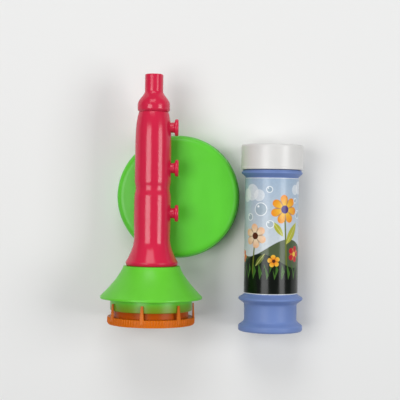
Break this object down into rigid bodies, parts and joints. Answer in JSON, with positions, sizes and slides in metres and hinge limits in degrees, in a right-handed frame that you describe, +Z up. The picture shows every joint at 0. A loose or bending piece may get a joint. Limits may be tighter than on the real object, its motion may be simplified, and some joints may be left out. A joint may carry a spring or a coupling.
{
  "type": "bubble blower",
  "caption": "Flute-shaped bubble blower with a flared bell and ribbed dip ring, laid on its dip dish beside a capped solution bottle with a wand.",
  "frame": {"origin": "on the ground, under the middle of the box round the whole set", "axes": "+Y along the flute towards its mouthpiece, +X from the flute to the bottle, +Z up from the ground"},
  "size_m": [0.1032, 0.1298, 0.0516],
  "materials": {
    "pink_plastic": "glossy pink-red moulded plastic",
    "green_plastic": "satin leaf-green moulded plastic",
    "orange_plastic": "glossy orange moulded plastic",
    "lilac_plastic": "satin lilac-blue blown plastic",
    "label_film": "printed film sleeve",
    "white_plastic": "satin white moulded plastic",
    "liner_foam": "soft foam wad",
    "wand_plastic": "white moulded plastic"
  },
  "bodies": {
    "dish": {"dip_dish": "green_plastic"},
    "flute": {"mouthpiece": "pink_plastic", "tube": "pink_plastic", "key_upper": "pink_plastic", "key_middle": "pink_plastic", "key_lower": "pink_plastic", "bell": "green_plastic"},
    "ring": {"dip_ring": "orange_plastic"},
    "bottle": {"bottle": "lilac_plastic", "bottle_label": "label_film"},
    "cap": {"bottle_cap": "white_plastic", "cap_liner": "liner_foam", "wand": "wand_plastic"}
  },
  "joints": [
    {"name": "flute_lift", "type": "slide", "parent": "dish", "child": "flute", "axis": [0, 0, 1], "range_m": [0, 0.06]},
    {"name": "ring_pull", "type": "slide", "parent": "flute", "child": "ring", "axis": [0, -1, 0], "range_m": [0, 0.012]},
    {"name": "bottle_lift", "type": "slide", "parent": "dish", "child": "bottle", "axis": [0, 0, 1], "range_m": [0, 0.06]},
    {"name": "cap_draw", "type": "slide", "parent": "bottle", "child": "cap", "axis": [0, 1, 0], "range_m": [0, 0.08]}
  ]
}
